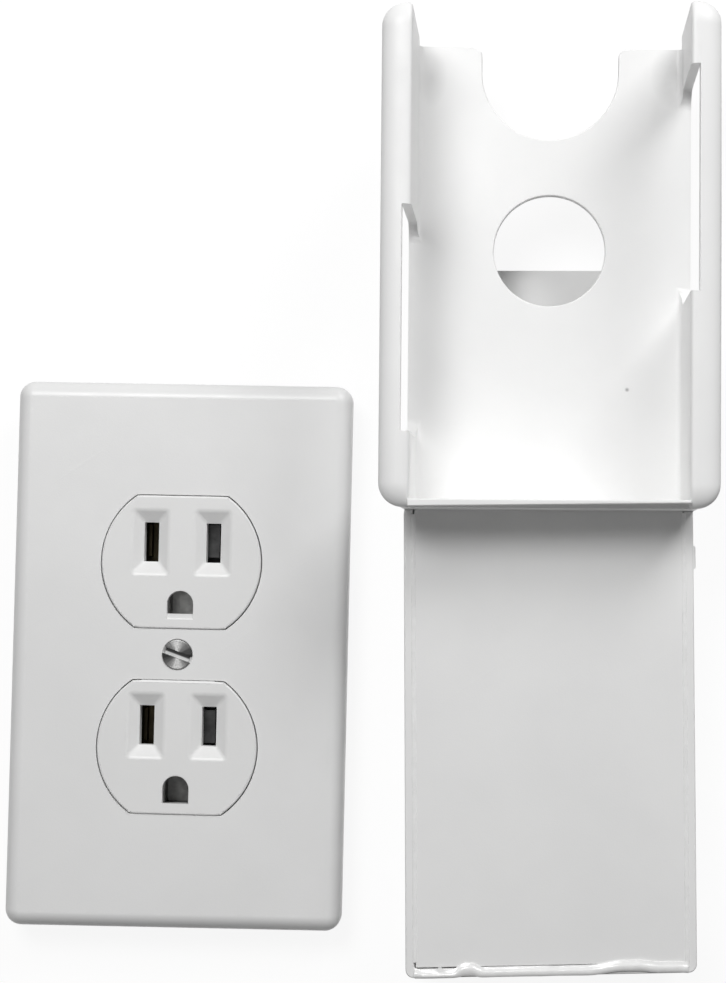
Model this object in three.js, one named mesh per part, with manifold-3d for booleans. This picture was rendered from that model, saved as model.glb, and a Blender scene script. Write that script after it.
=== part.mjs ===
// Outlet diversion safe: a hollow plastic insert for a hole in a plasterboard wall, and the
// sham duplex outlet that covers it. Both lie face up on a table, the cover to the left.
// Millimetres, +Z up. The origin is on the insert's rear face, below the underside of its ledge.
import * as THREE from 'three';
import { mergeVertices } from 'three/addons/utils/BufferGeometryUtils.js';
import Module from 'manifold-3d';

const wasm = await Module();
wasm.setup();

// Clearances
const seamGap = 0.3; // between glued or seated parts
const runningGap = 0.3; // round what turns or slides
const cut = 1; // how far a cutting solid runs past the face it cuts

// Insert, depths along Z from the rear face
const rearWall = 2;
const mouthDepth = 14; // rear wall to back wall, where things drop into the pocket
const backWall = 2;
const cavityDepth = 26; // back wall to the front of the rails
const panelSetback = 16; // front of the rails to the pocket's front panel
const panelThickness = 2;

// Insert, across X and along Y from the ledge's underside
const cavityHalf = 27.1;
const boxWall = 1.8;
const railProud = 4.3; // how far a rail stands out past the box
const railThickness = 3;
const railBottom = 0.4;
const railTop = 99.5;
const railTopRadius = 5;
const railBottomRadius = 5;
const railCrown = 2.4; // fall of the domed front from its flat to its outer edge
const railDome = 4.6; // width over which it falls
const railInnerRadius = 0.5;
const ledgeThickness = 2;
const ledgeRoot = 0.5; // how far the ledge's front edge runs into each rail
const backWallTop = 96.2;
const rearWallTop = 52.1;
const pocketBottom = 92.3;
const pocketRadius = 2.5;
const bottomSlant = 1.4; // degrees, the pocket's lower end isn't quite square
const holeRadius = 11.4;
const holeHeight = 54;
const notchHalf = 14;
const notchCentre = 91;
const notchLip = 1; // rounding of the notch's two top corners
const windowLength = 44.2;
const windowSpread = 13.7; // offset of each window along Y from the point between them
const coverHeight = 51; // height at which the cover's centre seats
const nubLength = 5.4;
const nubHeight = -10;
const nubProud = 0.9;
const nubDepth = 4;
const beadWidth = 1.2;
const beadHeight = 0.35;
const beadTopGap = 1; // side beads stop this far below the ledge
const bottomBeadWidth = 2.2;
const bottomBeadHeight = 0.8;

// Cover, as it lies on the table beside the insert
const coverX = -77;
const coverY = -29.4;
const coverTurn = -1.05; // degrees about Z
const plateHeight = 114;
const plateDepth = 6;
const plateSkin = 1.8;
const plateWall = 1.6;
const plateRimRadius = 3.2;
const plateCornerRadius = 3.4;
const railClearance = 0.5; // plate's inside to a rail's outer edge
const bodyBehindPlate = 6; // plate's rim to the base's rear face
const faceProud = 0.4;

// Outlet faces
const faceRadius = 16.75;
const faceFlat = 14.1; // centre to the flat top or bottom
const outletSpacing = 38.9;
const shoulderThickness = 1.8;
const shoulderHalfWidth = 18.6;
const shoulderReach = 16.95; // the shoulder's end past an outlet's centre
const shoulderRadius = 2;
const slotWidth = 2.8;
const slotHeight = 8.2;
const slotSpacing = 12.9;
const slotRise = 4.4;
const funnelWidth = 7.3;
const funnelHeight = 13.6;
const funnelDepth = 1.6;
const groundWidth = 5.3;
const groundHeight = 5.7;
const groundDrop = 8.87;

// Base and what it holds
const baseHalfWidth = 22.4;
const baseReach = 18.55; // the base's end past an outlet's centre, and so on for what lies in it
const baseWall = 1.6;
const baseFloor = 1.6;
const baseCornerRadius = 3;
const bossRadius = 3.4;
const bossX = 14.6;
const bossReach = 13.75;
const housingScrewRadius = 1.2;
const housingHeadRadius = 2.4;
const housingHeadHeight = 1.1;
const housingGrip = 1.4; // length of screw in the shoulder
const driveHalfWidth = 0.4; // cross recess
const driveHalfLength = 1.6;
const driveDepth = 0.6;
const strapWidth = 9.2;
const strapReach = 16.85;
const strapThickness = 1.2;
const strapDrop = 0.8; // strap's top below the shoulder's seat
const strapPostRadius = 2.6;
const strapPostY = 19.4;
const contactThickness = 0.8;
const contactWidth = 6;
const contactReach = 11.05;
const contactLength = 7; // of the leaves that grip a blade, along Y
const bladeGap = 1.2;
const hotLip = 2.1;
const neutralDrop = 3.2; // neutral leaves end this far below the shoulder's seat
const groundLeafLength = 6;
const groundRivetRadius = 1.1;
const groundRivetHead = 1.9;
const rivetHeadHeight = 0.6;
const rivetSetback = 0.9; // between a ground hole and the rivet's head
const rivetClearance = 0.2;

// Snap arms at the base's sides
const armThickness = 1.5;
const armLift = 0.6; // arm's underside above the base's rear face
const armTop = 9.4;
const armLength = 42;
const knuckleRadius = 1.9;
const knuckleOffset = 2.2; // knuckle's centre out from the base's side
const knuckleBack = 16; // knuckle along Y from the cover's centre
const socketWall = 1.5;
const socketHalf = 4.2;
const hookLength = 14;
const hookCatch = 1.2; // how far the hook reaches behind a rail
const hookFall = 0.4; // hook's catch below the back of a rail
const hookToe = 0.6; // lower edge of the hook's ramp
const hookLand = 0.9; // height of the hook's outer edge

// Plate screw
const screwHeadRadius = 3.15;
const screwRadius = 1.6;
const screwConeDepth = 1.5;
const screwDome = 0.3;
const screwSlotWidth = 1.1;
const screwSlotDepth = 0.9;
const screwSlotTurn = -18; // degrees about Z
const screwLength = 8;
const screwTipRadius = 1.3;
const screwTipLength = 0.4;

// Places worked out for the insert
const rearFront = rearWall;
const backRear = rearFront + mouthDepth;
const backFront = backRear + backWall;
const railFront = backFront + cavityDepth;
const railBack = railFront - railThickness;
const panelFront = railFront - panelSetback;
const boxHalf = cavityHalf + boxWall;
const railHalf = boxHalf + railProud;
const pocketInner = pocketBottom - boxWall;

// Places worked out for the cover
const rimZ = bodyBehindPlate;
const plateFace = rimZ + plateDepth;
const plateUnder = plateFace - plateSkin;
const plateHalfWidth = railHalf + railClearance + plateWall;
const shoulderTop = plateUnder - seamGap;
const shoulderUnder = shoulderTop - shoulderThickness;
const baseTop = shoulderUnder - seamGap;
const faceTop = plateFace + faceProud;
const strapTop = baseTop - strapDrop;
const strapUnder = strapTop - strapThickness;
const knuckleX = baseHalfWidth + knuckleOffset;
const armInner = knuckleX + knuckleRadius - armThickness;
const armOuter = armInner + armThickness;
const hookTip = boxHalf + hookCatch;
const hookTop = rimZ - hookFall;
const outletY = outletSpacing / 2;
const outletCentres = [outletY, -outletY];
const shoulderHalfHeight = outletY + shoulderReach;
const baseHalfHeight = outletY + baseReach;
const bossY = outletY + bossReach;
const strapHalfLength = outletY + strapReach;
const contactHalfLength = outletY + contactReach;

// Segments of curves
const round = { bead: 8, corner: 6, small: 20, edge: 24, knuckle: 32, notch: 36, screw: 40, large: 64 };
const mergeDistance = 1e-5;

function toSolid(geometry) {
  const bare = geometry.clone();
  bare.deleteAttribute('normal');
  bare.deleteAttribute('uv');
  const merged = mergeVertices(bare, mergeDistance);
  const vertProperties = new Float32Array(merged.attributes.position.array);
  const triVerts = new Uint32Array(merged.index.array);
  return new wasm.Manifold(new wasm.Mesh({ numProp: 3, vertProperties, triVerts }));
}

function toGeometry(solid) {
  const mesh = solid.getMesh();
  const geometry = new THREE.BufferGeometry();
  geometry.setAttribute('position', new THREE.BufferAttribute(new Float32Array(mesh.vertProperties), 3));
  geometry.setIndex(new THREE.BufferAttribute(new Uint32Array(mesh.triVerts), 1));
  geometry.computeVertexNormals();
  return geometry;
}

const joined = (...solids) => solids.reduce((all, one) => all.add(one));
const without = (solid, ...cuts) => cuts.reduce((left, one) => left.subtract(one), solid);

// A box between two corners
function block(x0, x1, y0, y1, z0, z1) {
  const geometry = new THREE.BoxGeometry(x1 - x0, y1 - y0, z1 - z0);
  geometry.translate((x0 + x1) / 2, (y0 + y1) / 2, (z0 + z1) / 2);
  return toSolid(geometry);
}

// A shape in the XY plane, drawn out from one level to another
function prism(shape, z0, z1, curveSegments = round.small) {
  const geometry = new THREE.ExtrudeGeometry(shape, { depth: z1 - z0, bevelEnabled: false, curveSegments });
  geometry.translate(0, 0, z0);
  return toSolid(geometry);
}

// A section with X across and Z up, drawn out along Y
function beam(section, y0, y1, curveSegments = round.small) {
  const geometry = new THREE.ExtrudeGeometry(section, { depth: y1 - y0, bevelEnabled: false, curveSegments });
  geometry.rotateX(Math.PI / 2);
  geometry.translate(0, y1, 0);
  return toSolid(geometry);
}

function rod(x, y, radius, z0, z1, segments = round.small, topRadius = radius) {
  const geometry = new THREE.CylinderGeometry(topRadius, radius, z1 - z0, segments);
  geometry.rotateX(Math.PI / 2);
  geometry.translate(x, y, (z0 + z1) / 2);
  return toSolid(geometry);
}

function roundedRectangle(halfWidth, halfHeight, radius) {
  const shape = new THREE.Shape();
  const x = halfWidth - radius;
  const y = halfHeight - radius;
  shape.absarc(x, y, radius, 0, Math.PI / 2);
  shape.absarc(-x, y, radius, Math.PI / 2, Math.PI);
  shape.absarc(-x, -y, radius, Math.PI, Math.PI * 1.5);
  shape.absarc(x, -y, radius, Math.PI * 1.5, Math.PI * 2);
  shape.closePath();
  return shape;
}

function polygon(points) {
  const shape = new THREE.Shape();
  points.forEach(([x, y], i) => (i ? shape.lineTo(x, y) : shape.moveTo(x, y)));
  shape.closePath();
  return shape;
}

// A plan with a flat back at one level and a front at another, whose rim falls away all round
function crowned(plan, back, front, rimWidth, rimDrop, curveSegments) {
  const rim = { bevelThickness: rimDrop, bevelSize: rimWidth, bevelOffset: -rimWidth, bevelSegments: 6 };
  const depth = front - back;
  const geometry = new THREE.ExtrudeGeometry(plan, { depth, curveSegments, ...rim });
  geometry.translate(0, 0, back - rimDrop);
  const solid = toSolid(geometry);
  const { min, max } = solid.boundingBox();
  const behind = block(min[0] - cut, max[0] + cut, min[1] - cut, max[1] + cut, min[2] - cut, back);
  return without(solid, behind);
}

const mirroredX = (solid) => solid.mirror([1, 0, 0]);
const turnedHalf = (solid) => solid.rotate([0, 0, 180]);

// Insert: rails, side walls, back wall and ledge are one moulding

// Plan of both rails and what lies between them, round at its corners
function railPlan() {
  const plan = new THREE.Shape();
  plan.absarc(railHalf - railTopRadius, railTop - railTopRadius, railTopRadius, 0, Math.PI / 2);
  plan.absarc(railTopRadius - railHalf, railTop - railTopRadius, railTopRadius, Math.PI / 2, Math.PI);
  const low = railBottom + railBottomRadius;
  plan.absarc(railBottomRadius - railHalf, low, railBottomRadius, Math.PI, Math.PI * 1.5);
  plan.absarc(railHalf - railBottomRadius, low, railBottomRadius, Math.PI * 1.5, Math.PI * 2);
  plan.closePath();
  return plan;
}

// What is taken out between the rails, flared by the rounding of their inner edges
function betweenRails() {
  const section = new THREE.Shape();
  const top = railFront - railInnerRadius;
  const x = cavityHalf + railInnerRadius;
  section.moveTo(-x, railFront + cut);
  section.lineTo(-x, railFront);
  section.absarc(-x, top, railInnerRadius, Math.PI / 2, 0, true);
  section.lineTo(-cavityHalf, railBack - cut);
  section.lineTo(cavityHalf, railBack - cut);
  section.absarc(x, top, railInnerRadius, Math.PI, Math.PI / 2, true);
  section.lineTo(x, railFront + cut);
  section.closePath();
  return beam(section, railBottom - cut, railTop + cut, round.corner);
}

function rails() {
  const slab = crowned(railPlan(), railBack, railFront, railDome, railCrown, round.bead);
  return without(slab, betweenRails());
}

function sideWalls() {
  const right = block(cavityHalf, boxHalf, 0, railTop, backRear, railBack);
  return joined(right, mirroredX(right));
}

// Tall windows in the side walls, one high and one low, open to the front past the rails
function windows() {
  const opening = (middle) => block(cavityHalf - cut, boxHalf, middle - windowLength / 2,
    middle + windowLength / 2, backFront, railFront + cut);
  const right = opening(coverHeight + windowSpread);
  const left = mirroredX(opening(coverHeight - windowSpread));
  return joined(right, left);
}

function notchShape() {
  const shape = new THREE.Shape();
  const top = backWallTop + cut;
  const lipX = notchHalf + notchLip;
  const lipY = backWallTop - notchLip;
  shape.moveTo(-lipX, top);
  shape.lineTo(-lipX, backWallTop);
  shape.absarc(-lipX, lipY, notchLip, Math.PI / 2, 0, true);
  shape.absarc(0, notchCentre, notchHalf, Math.PI, Math.PI * 2);
  shape.absarc(lipX, lipY, notchLip, Math.PI, Math.PI / 2, true);
  shape.lineTo(lipX, top);
  shape.closePath();
  return shape;
}

function backPanel() {
  const wall = block(-boxHalf, boxHalf, 0, backWallTop, backRear, backFront);
  const hole = rod(0, holeHeight, holeRadius, backRear - cut, backFront + cut, round.large);
  const notch = prism(notchShape(), backRear - cut, backFront + cut, round.notch);
  return without(wall, hole, notch);
}

// The ledge closes the box below. Between the rails it stands as high as they do, with a rounded edge
function ledge() {
  const radius = ledgeThickness / 2;
  const half = cavityHalf + ledgeRoot;
  const edge = new THREE.CylinderGeometry(radius, radius, half * 2, round.small);
  edge.rotateZ(Math.PI / 2);
  edge.translate(0, radius, railFront - radius);
  const slab = block(-boxHalf, boxHalf, 0, ledgeThickness, backRear, railBack);
  const front = block(-half, half, 0, ledgeThickness, railBack - cut, railFront - radius);
  return joined(slab, front, toSolid(edge));
}

const frontFrame = without(joined(rails(), sideWalls(), backPanel(), ledge()), windows());

const slant = THREE.MathUtils.degToRad(bottomSlant);

// Height of the pocket's slanted lower end, above its height midway across
const slantRise = (x) => x * Math.tan(slant);

// A solid drawn with the pocket's lower end at Y zero, slanted and put in its place
const atLowerEnd = (solid) => solid.rotate([0, 0, bottomSlant]).translate([0, -pocketBottom, 0]);

function pocketPanel() {
  const half = cavityHalf - seamGap;
  const panel = block(-half, half, -pocketBottom, -seamGap, panelFront - panelThickness, panelFront);
  const wall = block(-boxHalf, boxHalf, -boxWall, boxWall + seamGap, 0, panelFront + cut);
  return without(panel, atLowerEnd(wall));
}

// Side of the tray seen along X: deep beside the pocket, shallow behind the back wall
function trayWall() {
  const foot = pocketBottom + pocketRadius;
  const outline = polygon([
    [-foot, 0], [rearWallTop, 0], [rearWallTop, backRear],
    [-seamGap, backRear], [-seamGap, panelFront], [-foot, panelFront],
  ]);
  const geometry = new THREE.ExtrudeGeometry(outline, { depth: boxWall, bevelEnabled: false });
  geometry.rotateZ(Math.PI / 2);
  geometry.rotateY(Math.PI / 2);
  geometry.translate(cavityHalf, 0, 0);
  return toSolid(geometry);
}

function trayPlan() {
  const plan = new THREE.Shape();
  const x = boxHalf - pocketRadius;
  const rise = pocketRadius / Math.cos(slant) - pocketBottom;
  const foot = Math.PI * 1.5 + slant;
  plan.moveTo(boxHalf + nubProud, rearWallTop);
  plan.lineTo(-boxHalf, rearWallTop);
  plan.absarc(-x, rise + slantRise(-x), pocketRadius, Math.PI, foot);
  plan.absarc(x, rise + slantRise(x), pocketRadius, foot, Math.PI * 2);
  plan.lineTo(boxHalf, nubHeight - nubLength);
  plan.lineTo(boxHalf + nubProud, nubHeight - nubLength);
  plan.closePath();
  return plan;
}

// Moulding nub left on the right wall beside the panel
function gateNub() {
  const section = new THREE.Shape();
  const root = boxHalf - boxWall / 2;
  section.moveTo(root, nubHeight - nubLength / 2);
  section.lineTo(boxHalf, nubHeight - nubLength / 2);
  section.absellipse(boxHalf, nubHeight, nubProud, nubLength / 2, -Math.PI / 2, Math.PI / 2);
  section.lineTo(root, nubHeight + nubLength / 2);
  section.closePath();
  return prism(section, panelFront - nubDepth, panelFront, round.bead);
}

function rearTray() {
  const rear = block(-boxHalf, boxHalf, -pocketBottom - pocketRadius, rearWallTop, 0, rearFront);
  const bottom = atLowerEnd(block(-boxHalf - cut, boxHalf + cut, -cut, boxWall, 0, panelFront));
  const side = trayWall();
  const walls = joined(rear, bottom, side, mirroredX(side), gateNub());
  return walls.intersect(prism(trayPlan(), -cut, panelFront + cut));
}

// A bead of solvent glue: half an ellipse standing on the front of the panel
function bead(width, height) {
  const section = new THREE.Shape();
  section.absellipse(0, panelFront, width / 2, height, 0, Math.PI);
  section.closePath();
  return section;
}

// Bead in the seam on one side, down to the bottom bead
function sideBead(side) {
  const x = side * (cavityHalf - seamGap / 2);
  const foot = slantRise(x) - pocketInner + bottomBeadWidth / 2 + seamGap * 2;
  return beam(bead(beadWidth, beadHeight), foot, -beadTopGap, round.bead).translate([x, 0, 0]);
}

function bottomBead() {
  const seam = beam(bead(bottomBeadWidth, bottomBeadHeight), -cavityHalf, cavityHalf, round.bead);
  return atLowerEnd(seam.rotate([0, 0, 90]).translate([0, boxWall + seamGap / 2, 0]));
}

// Cover: all below is drawn about the cover's own centre, with the table at zero

function wallPlate() {
  const outline = roundedRectangle(plateHalfWidth, plateHeight / 2, plateCornerRadius);
  const outer = crowned(outline, rimZ, plateFace, plateRimRadius, plateRimRadius, round.corner);
  const innerRadius = plateCornerRadius - plateWall;
  const inner = roundedRectangle(plateHalfWidth - plateWall, plateHeight / 2 - plateWall, innerRadius);
  const shell = without(outer, prism(inner, rimZ - cut, plateUnder, round.corner));
  const openings = outletCentres.map((y) => {
    const opening = outletOutline(faceRadius + runningGap, faceFlat + runningGap);
    return prism(opening, plateUnder - cut, plateFace + cut, round.edge).translate([0, y, 0]);
  });
  const bore = rod(0, 0, screwRadius + runningGap, plateUnder - cut, plateFace + cut);
  return without(shell, ...openings, bore, countersink());
}

// Seat of the screw's cone, carried on past the plate's face
function countersink() {
  const low = screwRadius + runningGap;
  const high = low + (screwHeadRadius - screwRadius) * (1 + cut / screwConeDepth);
  return rod(0, 0, low, plateFace - screwConeDepth, plateFace + cut, round.knuckle, high);
}

// A circle with its top and bottom cut flat
function outletOutline(radius, flat) {
  const shape = new THREE.Shape();
  const lift = Math.asin(flat / radius);
  shape.absarc(0, 0, radius, -lift, lift);
  shape.absarc(0, 0, radius, Math.PI - lift, Math.PI + lift);
  shape.closePath();
  return shape;
}

// A flared mouth that narrows to the blade slot, carried on past the face
function funnel() {
  const geometry = new THREE.BoxGeometry(1, 1, funnelDepth + cut);
  const position = geometry.attributes.position;
  const flare = 1 + cut / funnelDepth;
  for (let i = 0; i < position.count; i += 1) {
    const share = position.getZ(i) > 0 ? flare : 0;
    position.setX(i, position.getX(i) * (slotWidth + (funnelWidth - slotWidth) * share));
    position.setY(i, position.getY(i) * (slotHeight + (funnelHeight - slotHeight) * share));
  }
  geometry.translate(0, 0, faceTop + (cut - funnelDepth) / 2);
  return toSolid(geometry);
}

function bladeSlot(x, y) {
  const slot = block(-slotWidth / 2, slotWidth / 2, -slotHeight / 2, slotHeight / 2, shoulderUnder - cut,
    faceTop - funnelDepth / 2);
  return joined(funnel(), slot).translate([x, y, 0]);
}

function groundHole(y) {
  const shape = new THREE.Shape();
  const half = groundWidth / 2;
  shape.moveTo(-half, -groundHeight / 2);
  shape.lineTo(half, -groundHeight / 2);
  shape.absarc(0, groundHeight / 2 - half, half, 0, Math.PI);
  shape.closePath();
  return prism(shape, shoulderUnder - cut, faceTop + cut, round.bead).translate([0, y, 0]);
}

const slotRows = outletCentres.map((y) => y + slotRise);
const groundRows = outletCentres.map((y) => y - groundDrop);
const bossPlaces = [[bossX, bossY], [-bossX, bossY], [-bossX, -bossY], [bossX, -bossY]];

function receptacleFace() {
  const outline = roundedRectangle(shoulderHalfWidth, shoulderHalfHeight, shoulderRadius);
  const shoulder = prism(outline, shoulderUnder, shoulderTop, round.corner);
  const islands = outletCentres.map((y) => (
    prism(outletOutline(faceRadius, faceFlat), shoulderUnder, faceTop, round.edge).translate([0, y, 0])));
  const slots = slotRows.flatMap((y) => [-1, 1].map((side) => bladeSlot(side * slotSpacing / 2, y)));
  const grounds = groundRows.map(groundHole);
  const bore = rod(0, 0, screwRadius + runningGap * 2, shoulderUnder - cut, shoulderTop + cut);
  const screwHoles = bossPlaces.map(([x, y]) => (
    rod(x, y, housingScrewRadius + runningGap, shoulderUnder - cut, shoulderUnder + housingGrip + seamGap)));
  return without(joined(shoulder, ...islands), ...slots, ...grounds, bore, ...screwHoles);
}

// Round socket with a mouth along Y, in which a snap arm's knuckle is held
function armSocket() {
  const outer = knuckleX + socketWall;
  const lug = block(baseHalfWidth - baseWall, outer, -knuckleBack - socketHalf, -knuckleBack + socketHalf, 0,
    armTop);
  const bore = rod(knuckleX, -knuckleBack, knuckleRadius + runningGap, -cut, armTop + cut, round.knuckle);
  const mouth = block(armInner - armSwing(socketHalf) - runningGap, outer + cut, -knuckleBack,
    -knuckleBack + socketHalf + cut, -cut, armTop + cut);
  return { lug, hollow: joined(bore, mouth) };
}

// How far the arm moves inwards at a distance from its knuckle when the whole hook clears a rail
function armSwing(distance) {
  return (hookCatch + runningGap) * distance / (armLength - hookLength);
}

function boss(x, y) {
  const post = rod(x, y, bossRadius, 0, baseTop, round.edge);
  const headRoom = housingHeadHeight + seamGap * 2;
  const counterbore = rod(x, y, housingHeadRadius + runningGap, -cut, headRoom);
  const bore = rod(x, y, housingScrewRadius + runningGap, -cut, baseTop + cut);
  return { post, hollow: joined(counterbore, bore) };
}

function receptacleBase() {
  const outline = roundedRectangle(baseHalfWidth, baseHalfHeight, baseCornerRadius);
  const outer = prism(outline, 0, baseTop, round.corner);
  const innerRadius = baseCornerRadius - baseWall;
  const inner = roundedRectangle(baseHalfWidth - baseWall, baseHalfHeight - baseWall, innerRadius);
  const tray = without(outer, prism(inner, baseFloor, baseTop + cut, round.corner));
  const bosses = bossPlaces.map(([x, y]) => boss(x, y));
  const posts = [1, -1].map((side) => (
    rod(0, side * strapPostY, strapPostRadius, baseFloor / 2, strapUnder - seamGap)));
  const right = armSocket();
  const left = { lug: turnedHalf(right.lug), hollow: turnedHalf(right.hollow) };
  const solid = joined(tray, right.lug, left.lug, ...bosses.map((one) => one.post), ...posts);
  return without(solid, right.hollow, left.hollow, ...bosses.map((one) => one.hollow));
}

// Flat steel strap down the middle, with a hole for the plate screw and one under each ground hole
function groundStrap() {
  const half = strapWidth / 2;
  const strap = block(-half, half, -strapHalfLength, strapHalfLength, strapUnder, strapTop);
  const tapped = rod(0, 0, screwRadius + runningGap, strapUnder - cut, strapTop + cut);
  const grounds = groundRows.map((y) => (
    block(-groundWidth / 2, groundWidth / 2, y - groundHeight / 2, y + groundHeight / 2, strapUnder - cut,
      strapTop + cut)));
  const rivets = groundRows.map((y) => (
    rod(0, groundRivetY(y), groundRivetRadius + runningGap, strapUnder - cut, strapTop + cut)));
  return without(strap, tapped, ...grounds, ...rivets);
}

function groundRivetY(y) {
  return y - groundHeight / 2 - groundRivetHead - rivetSetback;
}

// Folded brass clip below the strap: a leaf on each side of the ground hole, and a floor between them
function groundContact(y) {
  const top = strapUnder - seamGap;
  const foot = groundRivetY(y) - groundRivetHead;
  const near = y + groundHeight / 2;
  const half = groundWidth / 2 + contactThickness;
  const web = block(-half, half, foot, near, top - contactThickness, top);
  const opening = block(-groundWidth / 2, groundWidth / 2, y - groundHeight / 2, near + cut,
    top - contactThickness - cut, top + cut);
  const low = baseFloor + seamGap;
  const leaf = block(groundWidth / 2, half, y - groundLeafLength / 2, near, low, top);
  const floor = block(-half, half, y - groundLeafLength / 2, near, low, low + contactThickness);
  const rivetHole = rod(0, groundRivetY(y), groundRivetRadius + runningGap, top - contactThickness - cut,
    top + cut);
  return joined(without(web, opening, rivetHole), leaf, mirroredX(leaf), floor);
}

// Rivets hold the ground contacts to the strap
function groundRivet(y) {
  const place = groundRivetY(y);
  const low = strapUnder - seamGap - contactThickness - seamGap;
  const high = strapTop + rivetClearance;
  const shank = rod(0, place, groundRivetRadius, low - rivetHeadHeight / 2, high + rivetHeadHeight / 2);
  const heads = [low - rivetHeadHeight, high].map((z) => (
    rod(0, place, groundRivetHead, z, z + rivetHeadHeight)));
  return joined(shank, ...heads);
}

// Brass strip on the base's floor, with a pair of leaves under each slot on its side
function bladeContacts(lip, top) {
  const middle = slotSpacing / 2;
  const low = baseFloor + seamGap;
  const strip = block(middle - contactWidth / 2, middle + contactWidth / 2, -contactHalfLength,
    contactHalfLength, low, low + contactThickness);
  const leaves = slotRows.flatMap((y) => [-1, 1].map((side) => {
    const near = middle + side * bladeGap / 2;
    const far = near + side * contactThickness;
    return block(Math.min(near, far), Math.max(near, far), y - contactLength / 2, y + contactLength / 2,
      low, top);
  }));
  const lips = slotRows.map((y) => {
    const edge = middle - slotWidth / 2;
    return block(edge, edge + lip, y - contactLength / 2, y + contactLength / 2, top - contactThickness, top);
  });
  return joined(strip, ...leaves, ...lips);
}

function housingScrew([x, y]) {
  const headLow = seamGap;
  const headTop = headLow + housingHeadHeight;
  const head = rod(x, y, housingHeadRadius, headLow, headTop);
  const shank = rod(x, y, housingScrewRadius, headTop - housingHeadHeight / 2, shoulderUnder + housingGrip);
  const slots = [[driveHalfLength, driveHalfWidth], [driveHalfWidth, driveHalfLength]].map(([a, b]) => (
    block(x - a, x + a, y - b, y + b, headLow - cut, headLow + driveDepth)));
  return without(joined(head, shank), ...slots);
}

// Right-hand snap arm: a knuckle, a springy arm along Y and a hook that catches behind a rail
function snapArm() {
  const end = armLength - knuckleBack;
  const knuckle = rod(knuckleX, -knuckleBack, knuckleRadius, armLift, armTop, round.knuckle);
  const arm = block(armInner, armOuter, -knuckleBack, end, armLift, armTop);
  const root = armOuter - armThickness / 2;
  const section = polygon([
    [root, armLift], [armOuter, armLift], [armOuter + hookToe, armLift + hookToe],
    [hookTip, hookTop - hookLand], [hookTip, hookTop], [root, hookTop],
  ]);
  return joined(knuckle, arm, beam(section, end - hookLength, end));
}

// Slotted countersunk screw in the middle of the plate
function plateScrew() {
  const top = plateFace + screwDome;
  const coneLow = plateFace - screwConeDepth;
  const steps = round.corner;
  const dome = Array.from({ length: steps + 1 }, (_, i) => {
    const share = i / steps;
    const rise = screwDome * (1 - (1 - share) ** 2);
    return new THREE.Vector2(screwHeadRadius * (1 - share), plateFace + rise);
  });
  const tip = top - screwLength;
  const profile = [
    new THREE.Vector2(0, tip), new THREE.Vector2(screwTipRadius, tip),
    new THREE.Vector2(screwRadius, tip + screwTipLength), new THREE.Vector2(screwRadius, coneLow), ...dome,
  ];
  const body = new THREE.LatheGeometry(profile, round.screw);
  body.rotateX(Math.PI / 2);
  const slotHalf = screwSlotWidth / 2;
  const slot = block(-screwHeadRadius * 2, screwHeadRadius * 2, -slotHalf, slotHalf, top - screwSlotDepth,
    top + cut);
  return without(toSolid(body), slot.rotate([0, 0, screwSlotTurn]));
}

// Materials: moulded plastic, plated steel, brass and clear glue
function plastic(color, roughness = 0.35) {
  return new THREE.MeshStandardMaterial({ color, roughness, metalness: 0 });
}

function metal(color, roughness) {
  return new THREE.MeshStandardMaterial({ color, roughness, metalness: 1 });
}

function addPiece(group, name, solid, material) {
  const mesh = new THREE.Mesh(toGeometry(solid), material);
  mesh.name = name;
  group.add(mesh);
}

const insert = new THREE.Group();
addPiece(insert, 'front_frame', frontFrame, plastic(0xf4f4f2));
addPiece(insert, 'pocket_front_panel', pocketPanel(), plastic(0xf2f2f0, 0.4));
addPiece(insert, 'rear_tray', rearTray(), plastic(0xf0f0ee, 0.4));
addPiece(insert, 'left_glue_seam', sideBead(-1), plastic(0xfafafa, 0.15));
addPiece(insert, 'right_glue_seam', sideBead(1), plastic(0xfafafa, 0.15));
addPiece(insert, 'bottom_glue_seam', bottomBead(), plastic(0xfafafa, 0.15));

const cover = new THREE.Group();
cover.position.set(coverX, coverY, 0);
cover.rotation.z = THREE.MathUtils.degToRad(coverTurn);
addPiece(cover, 'wall_plate', wallPlate(), plastic(0xf2f2f0, 0.3));
addPiece(cover, 'plate_screw', plateScrew(), metal(0xb8b6b0, 0.35));
addPiece(cover, 'receptacle_face', receptacleFace(), plastic(0xefefec, 0.32));
addPiece(cover, 'receptacle_base', receptacleBase(), plastic(0x2a2a2c, 0.5));
addPiece(cover, 'ground_strap', groundStrap(), metal(0xa9a9a6, 0.4));
addPiece(cover, 'upper_ground_contact', groundContact(groundRows[0]), metal(0xc9a652, 0.35));
addPiece(cover, 'lower_ground_contact', groundContact(groundRows[1]), metal(0xc9a652, 0.35));
addPiece(cover, 'upper_strap_rivet', groundRivet(groundRows[0]), metal(0xb0aea8, 0.4));
addPiece(cover, 'lower_strap_rivet', groundRivet(groundRows[1]), metal(0xb0aea8, 0.4));
const neutral = mirroredX(bladeContacts(contactThickness, baseTop - neutralDrop));
addPiece(cover, 'neutral_contacts', neutral, metal(0xc9a652, 0.35));
addPiece(cover, 'hot_contacts', bladeContacts(hotLip, baseTop), metal(0x8d8d8b, 0.3));
bossPlaces.forEach((place, i) => {
  addPiece(cover, `housing_screw_${i + 1}`, housingScrew(place), metal(0xb0aea8, 0.4));
});
addPiece(cover, 'right_snap_arm', snapArm(), plastic(0xe6e6e2, 0.45));
addPiece(cover, 'left_snap_arm', turnedHalf(snapArm()), plastic(0xe6e6e2, 0.45));

const safe = new THREE.Group();
safe.add(insert, cover);

export default safe;
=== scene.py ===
# Outlet diversion safe: a white plastic insert with a pocket, and the sham outlet cover beside it.
# Pieces are modelled in millimetres, then scaled to metres and put in their place by seat().
import math

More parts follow.
